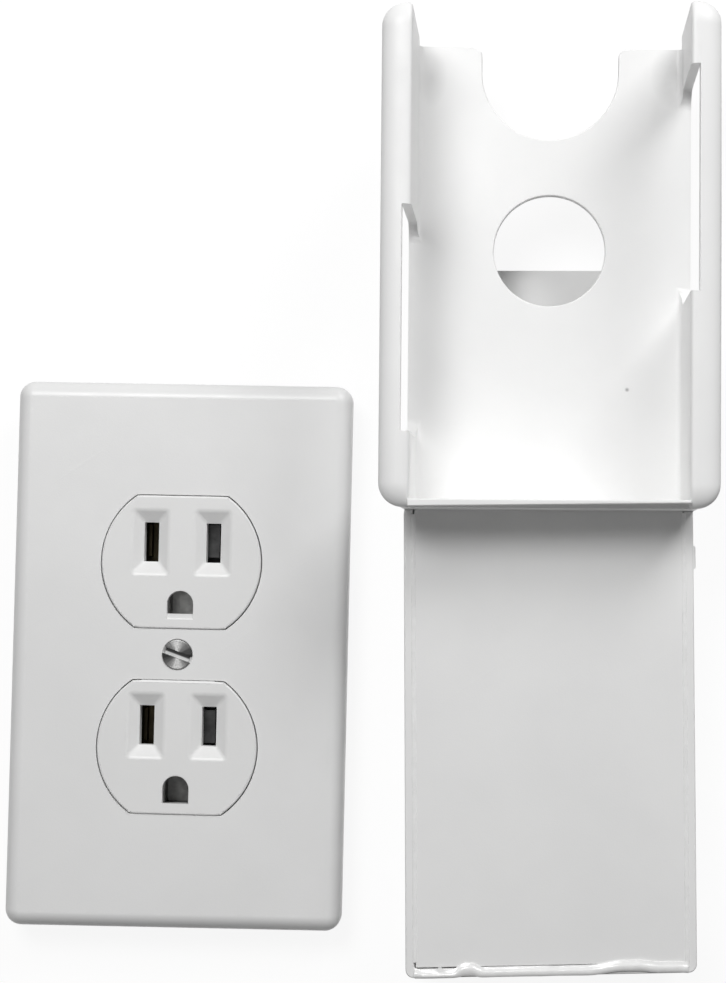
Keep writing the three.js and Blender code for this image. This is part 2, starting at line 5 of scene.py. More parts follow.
import bmesh
import bpy
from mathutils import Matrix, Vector


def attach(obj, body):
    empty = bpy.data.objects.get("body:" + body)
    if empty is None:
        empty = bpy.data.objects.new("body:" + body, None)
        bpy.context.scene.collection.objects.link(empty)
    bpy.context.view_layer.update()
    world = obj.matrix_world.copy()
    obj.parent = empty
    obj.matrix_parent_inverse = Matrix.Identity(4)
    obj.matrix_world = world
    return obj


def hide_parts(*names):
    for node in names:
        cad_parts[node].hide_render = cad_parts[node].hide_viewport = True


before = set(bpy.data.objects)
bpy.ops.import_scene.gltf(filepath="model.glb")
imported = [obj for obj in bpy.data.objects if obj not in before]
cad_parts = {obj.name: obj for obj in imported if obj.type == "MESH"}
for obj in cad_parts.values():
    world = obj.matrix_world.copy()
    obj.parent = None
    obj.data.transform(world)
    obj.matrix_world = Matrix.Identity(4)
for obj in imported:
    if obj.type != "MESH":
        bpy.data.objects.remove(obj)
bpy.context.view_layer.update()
print("frame loaded")

scene = bpy.context.scene
scene.view_settings.view_transform = "Standard"
mm = 0.001

photo = {
    "width": 726,
    "height": 983,
    "focalPixels": 2229.1,
    "sensorWidth": 36,
    "nearest": 0.01,
    "opticalCentreX": 400.0,
    "cameraPlace": (-7.396, -13.262, 474.79),
    "cameraTurn": (2.231, 2.865, 0.202),
}


def makeCamera():
    data = bpy.data.cameras.new("camera")
    data.sensor_width = photo["sensorWidth"]
    data.lens = photo["focalPixels"] / photo["height"] * data.sensor_width
    data.shift_x = (photo["width"] / 2 - photo["opticalCentreX"]) / photo["height"]
    data.clip_start = photo["nearest"]
    camera = bpy.data.objects.new("camera", data)
    camera.location = [value * mm for value in photo["cameraPlace"]]
    camera.rotation_euler = [math.radians(value) for value in photo["cameraTurn"]]
    scene.collection.objects.link(camera)
    scene.camera = camera


studio = {
    "floorSize": 3.0,
    "floorDrop": 0.0002,
    "floorGlow": 0.9,
    "floorBounce": 0.4,
    "floorFaint": 0.14,
    "skyStrength": 0.117,
    "aim": (0.0, 0.0, 0.03),
    "softboxes": (
        {"name": "leftSoftbox", "place": (-0.213, 0.368, 0.756), "size": (0.32, 0.32), "power": 3.66},
        {"name": "rightSoftbox", "place": (0.348, 0.603, 0.508), "size": (0.32, 0.32), "power": 3.02},
    ),
}


def calculate(nodes, links, operation, *values):
    step = nodes.new("ShaderNodeMath")
    step.operation = operation
    for socket, value in zip(step.inputs, values):
        if isinstance(value, (int, float)):
            socket.default_value = value
        else:
            links.new(value, socket)
    return step.outputs[0]


def addShader(nodes, kind, **values):
    shader = nodes.new(kind)
    for name, value in values.items():
        shader.inputs[name].default_value = value
    return shader.outputs[0]


# One shader for rays that are seen straight, in a reflection or through glass, one for rays that only light
def joinShaders(nodes, links, outputKind, lighting, seen):
    path = nodes.new("ShaderNodeLightPath").outputs
    share = calculate(nodes, links, "MAXIMUM", path["Is Camera Ray"], path["Is Glossy Ray"])
    share = calculate(nodes, links, "MAXIMUM", share, path["Is Transmission Ray"])
    mix = nodes.new("ShaderNodeMixShader")
    for socket, source in zip(mix.inputs, (share, lighting, seen)):
        links.new(source, socket)
    links.new(mix.outputs[0], nodes.new(outputKind).inputs["Surface"])


def makeSky():
    world = bpy.data.worlds.new("studio")
    world.use_nodes = True
    nodes, links = world.node_tree.nodes, world.node_tree.links
    nodes.clear()
    white = (1, 1, 1, 1)
    lighting = addShader(nodes, "ShaderNodeBackground", Color=white, Strength=studio["skyStrength"])
    seen = addShader(nodes, "ShaderNodeBackground", Color=white, Strength=1)
    joinShaders(nodes, links, "ShaderNodeOutputWorld", lighting, seen)
    scene.world = world


def makeFloor():
    bpy.ops.object.select_all(action="DESELECT")
    bpy.ops.mesh.primitive_plane_add(size=studio["floorSize"], location=(0, 0, -studio["floorDrop"]))
    floor = bpy.context.object
    floor.name = "floor"
    material = bpy.data.materials.new("pale_floor")
    material.use_nodes = True
    nodes, links = material.node_tree.nodes, material.node_tree.links
    nodes.clear()
    lighting = addShader(nodes, "ShaderNodeBsdfDiffuse", Color=(*[studio["floorBounce"]] * 3, 1))
    faint = addShader(nodes, "ShaderNodeBsdfDiffuse", Color=(*[studio["floorFaint"]] * 3, 1))
    glow = addShader(nodes, "ShaderNodeEmission", Strength=studio["floorGlow"])
    seen = nodes.new("ShaderNodeAddShader")
    links.new(faint, seen.inputs[0])
    links.new(glow, seen.inputs[1])
    joinShaders(nodes, links, "ShaderNodeOutputMaterial", lighting, seen.outputs[0])
    floor.data.materials.append(material)


def makeSoftbox(one):
    data = bpy.data.lights.new(one["name"], "AREA")
    data.shape = "RECTANGLE"
    data.size, data.size_y = one["size"]
    data.energy = one["power"]
    lamp = bpy.data.objects.new(one["name"], data)
    lamp.location = one["place"]
    aim = Vector(studio["aim"]) - lamp.location
    lamp.rotation_euler = aim.to_track_quat("-Z", "Y").to_euler()
    scene.collection.objects.link(lamp)


makeCamera()
makeSky()
makeFloor()
for one in studio["softboxes"]:
    makeSoftbox(one)
print("camera, floor and lights set")


# How far cutting blocks reach past a piece, in millimetres: just past it, past its sides and past its top
past = 5
far = 60
above = 120

# Slack of picks by place, and of pieces that have to overlap to be welded
slack = 0.1

# Edges turning less than this, in degrees, are shaded smooth
smoothBelow = 38


# Modelling steps, each done on one piece as by hand

def pick(piece):
    if bpy.context.object and bpy.context.object.mode == "EDIT":
        bpy.ops.object.mode_set(mode="OBJECT")
    bpy.ops.object.select_all(action="DESELECT")
    piece.select_set(True)
    bpy.context.view_layer.objects.active = piece


def settle(name):
    piece = bpy.context.object
    piece.name = name
    bpy.ops.object.transform_apply(location=True, rotation=True, scale=True)
    return piece


def addBlock(name, low, high):
    bpy.ops.object.select_all(action="DESELECT")
    middle = [(a + b) / 2 for a, b in zip(low, high)]
    bpy.ops.mesh.primitive_cube_add(size=1, location=middle)
    bpy.context.object.scale = [b - a for a, b in zip(low, high)]
    return settle(name)


def addRod(name, x, y, radius, low, high, sides=96, topRadius=None):
    bpy.ops.object.select_all(action="DESELECT")
    bpy.ops.mesh.primitive_cone_add(
        vertices=sides,
        radius1=radius,
        radius2=radius if topRadius is None else topRadius,
        depth=high - low,
        location=(x, y, (low + high) / 2),
    )
    return settle(name)


def near(value, target, reach=0.02):
    return abs(value - target) < reach


def upright(a, b):
    return near(a.x, b.x) and near(a.y, b.y) and not near(a.z, b.z)


def atLevel(axis, value):
    return lambda a, b: near(a[axis], value) and near(b[axis], value)


# Opens edit mode with only the wanted edges selected, and none that lie within a flat side
def markEdges(piece, wanted):
    pick(piece)
    bpy.ops.object.mode_set(mode="EDIT")
    bpy.ops.mesh.select_mode(type="EDGE")
    bpy.ops.mesh.select_all(action="DESELECT")
    mesh = bmesh.from_edit_mesh(piece.data)
    for edge in mesh.edges:
        if edge.calc_face_angle(0) > 0.01 and wanted(edge.verts[0].co, edge.verts[1].co):
            edge.select_set(True)
    bmesh.update_edit_mesh(piece.data)


def markPoints(piece, wanted):
    pick(piece)
    bpy.ops.object.mode_set(mode="EDIT")
    bpy.ops.mesh.select_mode(type="VERT")
    bpy.ops.mesh.select_all(action="DESELECT")
    mesh = bmesh.from_edit_mesh(piece.data)
    for point in mesh.verts:
        point.select_set(wanted(point.co))
    bmesh.update_edit_mesh(piece.data)


def markFaces(piece, wanted):
    pick(piece)
    bpy.ops.object.mode_set(mode="EDIT")
    bpy.ops.mesh.select_mode(type="FACE")
    bpy.ops.mesh.select_all(action="DESELECT")
    mesh = bmesh.from_edit_mesh(piece.data)
    for face in mesh.faces:
        face.select_set(wanted(face.calc_center_median(), face.normal))
    bmesh.update_edit_mesh(piece.data)


def leaveEdit():
    bpy.ops.object.mode_set(mode="OBJECT")


def roundEdges(piece, wanted, radius, steps=3):
    markEdges(piece, wanted)
    bpy.ops.mesh.bevel(offset=radius, segments=steps, profile=0.5, affect="EDGES", clamp_overlap=False)
    leaveEdit()


def sliceOff(piece, place, normal):
    pick(piece)
    bpy.ops.object.mode_set(mode="EDIT")
    bpy.ops.mesh.select_all(action="SELECT")
    bpy.ops.mesh.bisect(plane_co=place, plane_no=normal, use_fill=True, clear_outer=True)
    leaveEdit()


def applyModifier(piece, modifier):
    pick(piece)
    bpy.ops.object.modifier_apply(modifier=modifier.name)


def combine(piece, tool, operation):
    pick(piece)
    modifier = piece.modifiers.new("combine", "BOOLEAN")
    modifier.operation = operation
    modifier.object = tool
    modifier.solver = "EXACT"
    applyModifier(piece, modifier)
    bpy.data.objects.remove(tool)


def carve(piece, *tools):
    for tool in tools:
        combine(piece, tool, "DIFFERENCE")


def weld(piece, *others):
    for other in others:
        combine(piece, other, "UNION")


# Turns the marked points about an upright line, in degrees anticlockwise
def turnPoints(piece, wanted, degrees, x, y):
    markPoints(piece, wanted)
    bpy.ops.transform.rotate(value=-math.radians(degrees), orient_axis="Z", center_override=(x, y, 0))
    leaveEdit()


def shiftPoints(piece, wanted, step):
    markPoints(piece, wanted)
    bpy.ops.transform.translate(value=step)
    leaveEdit()


# Merges doubles and flat neighbours that the boolean steps leave
def cleanUp(piece):
    pick(piece)
    bpy.ops.object.mode_set(mode="EDIT")
    bpy.ops.mesh.select_all(action="SELECT")
    bpy.ops.mesh.remove_doubles(threshold=0.002)
    bpy.ops.mesh.dissolve_degenerate(threshold=0.002)
    bpy.ops.mesh.delete_loose(use_verts=True, use_edges=True, use_faces=False)
    bpy.ops.mesh.select_all(action="SELECT")
    bpy.ops.mesh.dissolve_limited(angle_limit=math.radians(0.4))
    leaveEdit()


screw = {
    "headRadius": 3.15,
    "shankRadius": 1.6,
    "seat": 12.0,
    "coneDepth": 1.5,
    "dome": 0.3,
    "edgeShare": 0.9,
    "slotWidth": 1.4,
    "slotDepth": 0.8,
    "slotTurn": -19,
    "length": 8.0,
    "thread": 0.7,
    "threadDepth": 0.25,
}

coverPlace = {"middle": (-77.0, -29.4, 0.0), "turn": -1.05}


# Smooths the shading, and lets the large flat faces lead it
def smoothShading(piece, degrees=smoothBelow):
    pick(piece)
    bpy.ops.object.shade_smooth_by_angle(angle=math.radians(degrees))
    weighted = piece.modifiers.new("flat faces first", "WEIGHTED_NORMAL")
    weighted.keep_sharp = True
    applyModifier(piece, weighted)


# Gives the piece its material, hands it to its body and hides the frame nodes it replaces; the material slot
# it is given is not used
def handOver(piece, body, slotName, material, *nodes):
    piece.data.materials.clear()
    piece.data.materials.append(material)
    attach(piece, body)
    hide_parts(*nodes)


# Scales a piece modelled in millimetres to metres, in its place
def seat(piece, body, slotName, material, *nodes, onCover=False, smoothAngle=smoothBelow):
    smoothShading(piece, smoothAngle)
    piece.scale = (mm, mm, mm)
    if onCover:
        piece.rotation_euler.z = math.radians(coverPlace["turn"])
        piece.location = [value * mm for value in coverPlace["middle"]]
    bpy.ops.object.transform_apply(location=True, rotation=True, scale=True)
    handOver(piece, body, slotName, material, *nodes)


# Finishes

def newMaterial(name):
    material = bpy.data.materials.new(name)
    material.use_nodes = True
    nodes = material.node_tree.nodes
    return material, nodes, material.node_tree.links, nodes["Principled BSDF"]


def objectPoint(nodes, links, place=(0, 0, 0), turn=0.0, scale=(1, 1, 1)):
    point = nodes.new("ShaderNodeTexCoord")
    mapping = nodes.new("ShaderNodeMapping")
    mapping.vector_type = "TEXTURE"
    mapping.inputs["Location"].default_value = [value * mm for value in place]
    mapping.inputs["Rotation"].default_value = (0, 0, math.radians(turn))
    mapping.inputs["Scale"].default_value = scale
    links.new(point.outputs["Object"], mapping.inputs["Vector"])
    return mapping.outputs["Vector"]


def addNoise(nodes, links, vector, scale, detail=2.0, roughness=0.5):
    texture = nodes.new("ShaderNodeTexNoise")
    texture.inputs["Scale"].default_value = scale
    texture.inputs["Detail"].default_value = detail
    texture.inputs["Roughness"].default_value = roughness
    links.new(vector, texture.inputs["Vector"])
    return texture.outputs["Fac"]


def spread(nodes, links, value, fromLow, fromHigh, low, high):
    span = nodes.new("ShaderNodeMapRange")
    span.inputs["From Min"].default_value = fromLow
    span.inputs["From Max"].default_value = fromHigh
    span.inputs["To Min"].default_value = low
    span.inputs["To Max"].default_value = high
    links.new(value, span.inputs["Value"])
    return span.outputs["Result"]


def blendColours(nodes, links, share, first, second):
    mix = nodes.new("ShaderNodeMix")
    mix.data_type = "RGBA"
    for socket, colour in ((mix.inputs["A"], first), (mix.inputs["B"], second)):
        if isinstance(colour, (tuple, list)):
            socket.default_value = (*colour, 1)
        else:
            links.new(colour, socket)
    links.new(share, mix.inputs["Factor"])
    return mix.outputs["Result"]


def addBump(nodes, links, height, distance, before=None):
    bump = nodes.new("ShaderNodeBump")
    bump.inputs["Distance"].default_value = distance
    links.new(height, bump.inputs["Height"])
    if before is not None:
        links.new(before, bump.inputs["Normal"])
    return bump.outputs["Normal"]


def splitAxes(nodes, links, vector):
    split = nodes.new("ShaderNodeSeparateXYZ")
    links.new(vector, split.inputs[0])
    return split.outputs["X"], split.outputs["Y"], split.outputs["Z"]


# A soft-edged spot at a place, one in the middle and zero outside
def spot(nodes, links, place, size):
    vector = objectPoint(nodes, links, place, scale=[value * mm for value in size])
    ball = nodes.new("ShaderNodeTexGradient")
    ball.gradient_type = "SPHERICAL"
    links.new(vector, ball.inputs["Vector"])
    return ball.outputs["Fac"]


whitePlastics = {
    # The front frame's colours are painted lighter than the tray's, though both are the same plastic:
    # painted light on the frame
    "insert": {
        "light": (0.93, 0.93, 0.926),
        "shade": (0.905, 0.905, 0.902),
        "rough": (0.34, 0.5),
        "wave": 0.00006,
    },
    "tray": {
        "light": (0.895, 0.895, 0.89),
        "shade": (0.865, 0.865, 0.862),
        "rough": (0.34, 0.5),
        "wave": 0.00006,
    },
    "plate": {
        "light": (0.87, 0.87, 0.867),
        "shade": (0.845, 0.845, 0.842),
        "rough": (0.28, 0.38),
        "wave": 0.00004,
    },
    "outlet": {
        "light": (0.86, 0.86, 0.855),
        "shade": (0.84, 0.84, 0.836),
        "rough": (0.3, 0.4),
        "wave": 0.00003,
    },
}

# Dark marks on the insert's back wall, each with its place, its size and how dark it is: a small speck, and
# two soft patches in the upper corners that are partly scuffs and partly painted shade
marksAndPaintedShade = (
    ((16.1, 25.4, 18), (0.55, 0.55, 3), 0.75),
    ((-24.0, 90.0, 18), (3.2, 6, 5), 0.1),
    ((26.4, 90.2, 18.5), (5.5, 7.5, 6), 0.16),
)


speckColour = (0.55, 0.55, 0.54)
scuffAndShadeColour = (0.12, 0.12, 0.12)
grainDepth = 0.000012
scratchDepth = 0.000006
scratches = {"turn": 33, "scale": (0.03, 0.0009, 0.01)}


# White moulded plastic: faint sink waves, fine grain, uneven gloss, hairline scratches and rare specks
def whitePlastic(name, marks=()):
    look = whitePlastics[name]
    material, nodes, links, shader = newMaterial(name + "_plastic")
    point = objectPoint(nodes, links)
    cloud = spread(nodes, links, addNoise(nodes, links, point, scale=45, detail=3), 0.35, 0.65, 0, 1)
    colour = blendColours(nodes, links, cloud, look["light"], look["shade"])
    dirt = addNoise(nodes, links, point, scale=700, detail=4, roughness=0.7)
    dirt = spread(nodes, links, dirt, 0.74, 0.82, 0, 0.35)
    colour = blendColours(nodes, links, dirt, colour, speckColour)
    # Each mark darkens its spot: a speck, and in the upper corners scuffs with painted shade
    for place, size, depth in marks:
        uneven = addNoise(nodes, links, point, scale=260, detail=3)
        uneven = spread(nodes, links, uneven, 0.3, 0.6, 0.2, 2 * depth)
        ragged = calculate(nodes, links, "MULTIPLY", spot(nodes, links, place, size), uneven)
        colour = blendColours(nodes, links, ragged, colour, scuffAndShadeColour)
    links.new(colour, shader.inputs["Base Color"])
    patches = addNoise(nodes, links, point, scale=120, detail=4, roughness=0.6)
    links.new(spread(nodes, links, patches, 0.3, 0.7, *look["rough"]), shader.inputs["Roughness"])
    waves = addBump(nodes, links, addNoise(nodes, links, point, scale=90, detail=1), look["wave"])
    grain = addNoise(nodes, links, point, scale=3200, detail=2)
    grain = addBump(nodes, links, grain, grainDepth, before=waves)
    streaks = objectPoint(nodes, links, **scratches)
    lines = addNoise(nodes, links, streaks, scale=1, detail=2)
    lines = spread(nodes, links, lines, 0.68, 0.74, 0, 1)
    links.new(addBump(nodes, links, lines, scratchDepth, before=grain), shader.inputs["Normal"])
    shader.inputs["IOR"].default_value = 1.5
    return material


thermoset = {
    "dark": (0.022, 0.022, 0.024),
    "pale": (0.036, 0.036, 0.038),
    "rough": (0.42, 0.62),
    "grain": 0.00002,
}


# Dark thermoset of the hidden base, with flow marks
def darkThermoset():
    material, nodes, links, shader = newMaterial("dark_thermoset")
    point = objectPoint(nodes, links)
    flow = addNoise(nodes, links, point, scale=160, detail=5, roughness=0.65)
    flow = spread(nodes, links, flow, 0.35, 0.7, 0, 1)
    colour = blendColours(nodes, links, flow, thermoset["dark"], thermoset["pale"])
    links.new(colour, shader.inputs["Base Color"])
    links.new(spread(nodes, links, flow, 0, 1, *thermoset["rough"]), shader.inputs["Roughness"])
    grain = addNoise(nodes, links, point, scale=2600, detail=3)
    links.new(addBump(nodes, links, grain, thermoset["grain"]), shader.inputs["Normal"])
    return material


metals = {
    "zinc_strap": {
        "bright": (0.4, 0.4, 0.4),
        "dull": (0.26, 0.26, 0.26),
        "rough": (0.35, 0.55),
        "grain": (0.0004, 0.02, 0.01),
    },
    # Hot contacts painted near black: painted shade for the depth of the blade slots
    "shade_darkened_contact": {
        "bright": (0.052, 0.052, 0.052),
        "dull": (0.025, 0.025, 0.025),
        "rough": (0.3, 0.5),
        "grain": (0.0003, 0.02, 0.01),
    },
    # Neutral contacts painted near black, painted shade for the depth of the blade slots, with patches of
    # tarnish
    "tarnish_and_shade_brass": {
        "bright": (0.04, 0.033, 0.02),
        "dull": (0.02, 0.016, 0.011),
        "rough": (0.35, 0.55),
        "grain": (0.0003, 0.02, 0.01),
    },
    "plated_clip": {
        "bright": (0.4, 0.4, 0.39),
        "dull": (0.28, 0.28, 0.275),
        "rough": (0.4, 0.6),
        "grain": (0.0003, 0.02, 0.01),
    },
    # The lower ground clip's copy of the clip metal is painted darker than the upper one's: painted shade in
    # its ground hole
    "shade_darkened_clip": {
        "bright": (0.2, 0.2, 0.195),
        "dull": (0.12, 0.12, 0.118),
        "rough": (0.4, 0.6),
        "grain": (0.0003, 0.02, 0.01),
    },
}


# Metal with a grain of fine drawn lines along one direction, and patches of tarnish
def drawnMetal(name):
    look = metals[name]
    material, nodes, links, shader = newMaterial(name)
    point = objectPoint(nodes, links)
    patches = addNoise(nodes, links, point, scale=300, detail=5, roughness=0.6)
    patches = spread(nodes, links, patches, 0.35, 0.7, 0, 1)
    colour = blendColours(nodes, links, patches, look["bright"], look["dull"])
    links.new(colour, shader.inputs["Base Color"])
    links.new(spread(nodes, links, patches, 0, 1, *look["rough"]), shader.inputs["Roughness"])
    lines = addNoise(nodes, links, objectPoint(nodes, links, scale=look["grain"]), scale=1, detail=3)
    links.new(addBump(nodes, links, lines, grainDepth), shader.inputs["Normal"])
    shader.inputs["Metallic"].default_value = 1
    return material


screwLook = {
    # The dull and bright colours are a painted highlight, laid in sectors about the head
    "dull": (0.03, 0.03, 0.03),
    "bright": (0.2, 0.2, 0.198),
    "rings": {"Scale": 1600, "Distortion": 1.5, "Detail": 2},
    "ringDepth": 0.00002,
    "paintedHighlightSectors": {"Scale": 2.6, "Detail": 3},
    "sectorSway": 0.45,
    "slotShare": 0.98,
    # The slot floor's colours are painted light on its lower side and painted shadow on its upper side
    "slotLit": (0.8, 0.8, 0.8),
    "slotPaintedShadow": (0.02, 0.02, 0.02),
    "slotShadowEdge": (-0.25, 0.1),
    "metallic": (1, 0.15),
    "rough": (0.32, 0.55),
}


# Turned screw head: rings about its own axis, a painted highlight in two bright and two dull sectors, and in
# the slot painted light on its lower side and painted shadow on its upper side
def turnedSteel():
    look = screwLook
    material, nodes, links, shader = newMaterial("turned_steel")
    point = objectPoint(nodes, links, coverPlace["middle"])
    rings = nodes.new("ShaderNodeTexWave")
    rings.wave_type = "RINGS"
    rings.rings_direction = "Z"
    for name, value in look["rings"].items():
        rings.inputs[name].default_value = value
    links.new(point, rings.inputs["Vector"])
    angle = calculate(nodes, links, "ARCTAN2", *splitAxes(nodes, links, point)[1::-1])
    sway = calculate(nodes, links, "COSINE", calculate(nodes, links, "MULTIPLY", angle, 2.0))
    around = nodes.new("ShaderNodeTexNoise")
    around.noise_dimensions = "1D"
    for name, value in look["paintedHighlightSectors"].items():
        around.inputs[name].default_value = value
    links.new(angle, around.inputs["W"])
    uneven = spread(nodes, links, around.outputs["Fac"], 0.3, 0.7, -look["sectorSway"], look["sectorSway"])
    # Painted highlight: two bright and two dull sectors about the head
    paintedHighlightSectors = spread(nodes, links, calculate(nodes, links, "SUBTRACT", uneven, sway), -1, 1, 0, 1)
    face = blendColours(nodes, links, paintedHighlightSectors, look["dull"], look["bright"])
    across = objectPoint(nodes, links, coverPlace["middle"], turn=coverPlace["turn"] + screw["slotTurn"])
    offset = splitAxes(nodes, links, across)[1]
    reach = screw["slotWidth"] / 2 * mm * look["slotShare"]
    inSlot = calculate(nodes, links, "LESS_THAN", calculate(nodes, links, "ABSOLUTE", offset), reach)
    # Painted shadow over the slot floor's upper side, painted light below it
    slotShadowShare = spread(nodes, links, offset, *[edge * reach for edge in look["slotShadowEdge"]], 0, 1)
    floor = blendColours(nodes, links, slotShadowShare, look["slotLit"], look["slotPaintedShadow"])
    links.new(blendColours(nodes, links, inSlot, face, floor), shader.inputs["Base Color"])
    links.new(spread(nodes, links, inSlot, 0, 1, *look["metallic"]), shader.inputs["Metallic"])
    links.new(spread(nodes, links, inSlot, 0, 1, *look["rough"]), shader.inputs["Roughness"])
    links.new(addBump(nodes, links, rings.outputs["Fac"], look["ringDepth"]), shader.inputs["Normal"])
    return material


glueLook = {
    "clear": (0.93, 0.93, 0.925),
    "milky": (0.86, 0.86, 0.855),
    "rough": (0.12, 0.3),
    "ripple": 0.00005,
    "coat": 0.4,
}


# Solvent glue set to a glossy, slightly milky bead
def setGlue():
    material, nodes, links, shader = newMaterial("set_glue")
    point = objectPoint(nodes, links)
    milk = addNoise(nodes, links, point, scale=420, detail=4, roughness=0.6)
    milk = spread(nodes, links, milk, 0.35, 0.7, 0, 1)
    colour = blendColours(nodes, links, milk, glueLook["clear"], glueLook["milky"])
    links.new(colour, shader.inputs["Base Color"])
    links.new(spread(nodes, links, milk, 0, 1, *glueLook["rough"]), shader.inputs["Roughness"])
    ripple = addNoise(nodes, links, point, scale=900, detail=3)
    links.new(addBump(nodes, links, ripple, glueLook["ripple"]), shader.inputs["Normal"])
    shader.inputs["Coat Weight"].default_value = glueLook["coat"]
    return material


# The frame's plastic is painted lighter than the tray's: painted light
insertPlasticPaintedLighter = whitePlastic("insert", marksAndPaintedShade)
trayPlastic = whitePlastic("tray")
platePlastic = whitePlastic("plate")
outletPlastic = whitePlastic("outlet")
basePlastic = darkThermoset()
glue = setGlue()
screwSteel = turnedSteel()
strapSteel = drawnMetal("zinc_strap")
contactSteel = drawnMetal("shade_darkened_contact")
contactBrass = drawnMetal("tarnish_and_shade_brass")
clipSteel = drawnMetal("plated_clip")
shadeDarkenedClipSteel = drawnMetal("shade_darkened_clip")
print("materials made")


pocket = {
    "inner": 27.1,
    "outer": 28.9,
    "wall": 1.8,
    "floor": 2.0,
    "top": 52.1,
    "foot": 92.04,
    "slant": 1.4,
    "front": 28.0,
    "mouthFront": 16.0,
    "shoulder": 0.38,
    "cornerRadius": 1.7,
    "cornersBelow": -80.0,
    "innerRadius": 0.6,
    "rearEdge": 0.4,
    "floorEdge": 0.5,
    "rimEdge": 0.3,
    "nubMiddle": -9.2,
    "nubHalf": 2.3,
    "nubProud": 0.45,
    "nubLow": 24.0,
    "nubBehind": 0.2,
    "nubEdge": 0.4,
    "panelHalf": 26.85,
    "panelBack": 26.0,
    "panelEdge": 0.2,
    "seam": 0.25,
    "lean": 0.42,
    "leanMiddle": -24.0,
    "fold": -0.3,
    "foldAbove": -0.2,
    "stepHalf": 40.0,
}

insert = {
    "cavityHalf": 27.1,
    "boxHalf": 28.9,
    "railHalf": 33.2,
    "railBottom": 0.4,
    "railTop": 99.5,
    "railBack": 41.0,
    "railFront": 44.0,
    "cornerRadius": 4.8,
    "domeWidth": 4.6,
    "domeDrop": 2.4,
    "innerEdge": 0.8,
    "innerEdgeAbove": 17.0,
    "outerEdge": 0.22,
    "backRear": 16.0,
    "backFront": 18.0,
    "backTop": 96.0,
    "backLean": 1.0,
    "holeRadius": 11.4,
    "holeHeight": 54.0,
    "notchHalf": 14.0,
    "notchCentre": 91.0,
    "notchLip": 1.9,
    "rimWithin": 20.0,
    "rimAbove": 40.0,
    "rimEdge": 0.3,
    "rootFillet": 1.2,
    "scoopHalf": 70.0,
    "ledge": 2.0,
    "ledgeHalf": 27.4,
    "ledgeLow": 0.55,
    "ledgeRise": 0.85,
    "ledgeEdge": 0.26,
    "rootFoot": 0.4,
    "windowLength": 44.2,
    "windowMiddles": {1: 64.7, -1: 37.3},
    "windowCorner": 4.0,
    "windowEdge": 0.15,
    "jambInside": 2.3,
    "jambOutside": 0.7,
    "lean": -0.28,
    "leanMiddle": 50.0,
    "backShift": 0.2,
    "shiftBelow": 25.0,
}


# One domed block, opened from end to end, with the edges of the opening rounded
def makeRails():
    s = insert
    low = (-s["railHalf"], s["railBottom"], s["backRear"])
    high = (s["railHalf"], s["railTop"], s["railFront"])
    rails = addBlock("frontFrame", low, high)
    roundEdges(rails, upright, s["cornerRadius"], steps=14)
    roundEdges(rails, atLevel(2, s["railFront"]), s["domeWidth"], steps=12)
    markPoints(rails, lambda co: co.z > s["backRear"] + 1)
    squash = s["domeDrop"] / s["domeWidth"]
    bpy.ops.transform.resize(value=(1, 1, squash), center_override=(0, 0, s["railFront"]))
    leaveEdit()
    carve(rails, addBlock("between", (-s["cavityHalf"], -past, 0), (s["cavityHalf"], above, far)))

    def mouth(a, b):
        inside = near(abs(a.x), s["cavityHalf"]) and near(abs(b.x), s["cavityHalf"])
        return inside and max(a.z, b.z) > s["innerEdgeAbove"]
    roundEdges(rails, mouth, s["innerEdge"], steps=4)
    return rails


# Cuts the block back to its side walls, so that the rails stand out beyond them
def cutBesideWalls(rails):
    s = insert
    right = addBlock("besideRight", (s["boxHalf"], -past, past), (far, above, s["railBack"]))
    left = addBlock("besideLeft", (-far, -past, past), (-s["boxHalf"], above, s["railBack"]))
    carve(rails, right, left)
    cleanUp(rails)

    def backEdge(a, b):
        outside = max(abs(a.x), abs(b.x)) > s["boxHalf"] + slack
        return atLevel(2, s["railBack"])(a, b) and outside
    roundEdges(rails, backEdge, s["outerEdge"])


# The back wall's upper edge isn't quite square
def trimTop(piece):
    lean = math.radians(insert["backLean"])
    sliceOff(piece, (0, insert["backTop"], 0), (math.sin(lean), math.cos(lean), 0))


# Hollow-sided strip that fills the corner between the back wall and a side wall
def makeRootFillet(side):
    s = insert
    reach = s["cavityHalf"] - s["rootFillet"]
    rise = s["backFront"] + s["rootFillet"]
    left, right = sorted((side * reach, side * (s["cavityHalf"] + 0.5)))
    strip = addBlock("strip", (left, 1, s["backFront"] - 0.5), (right, s["backTop"] + 2, rise))
    trimTop(strip)
    scoop = addRod("scoop", 0, 0, s["rootFillet"], -s["scoopHalf"], s["scoopHalf"], sides=64)
    pick(scoop)
    scoop.rotation_euler.x = math.pi / 2
    scoop.location = (side * reach, s["backTop"] / 2, rise)
    bpy.ops.object.transform_apply(location=True, rotation=True, scale=True)
    carve(strip, scoop)
    return strip


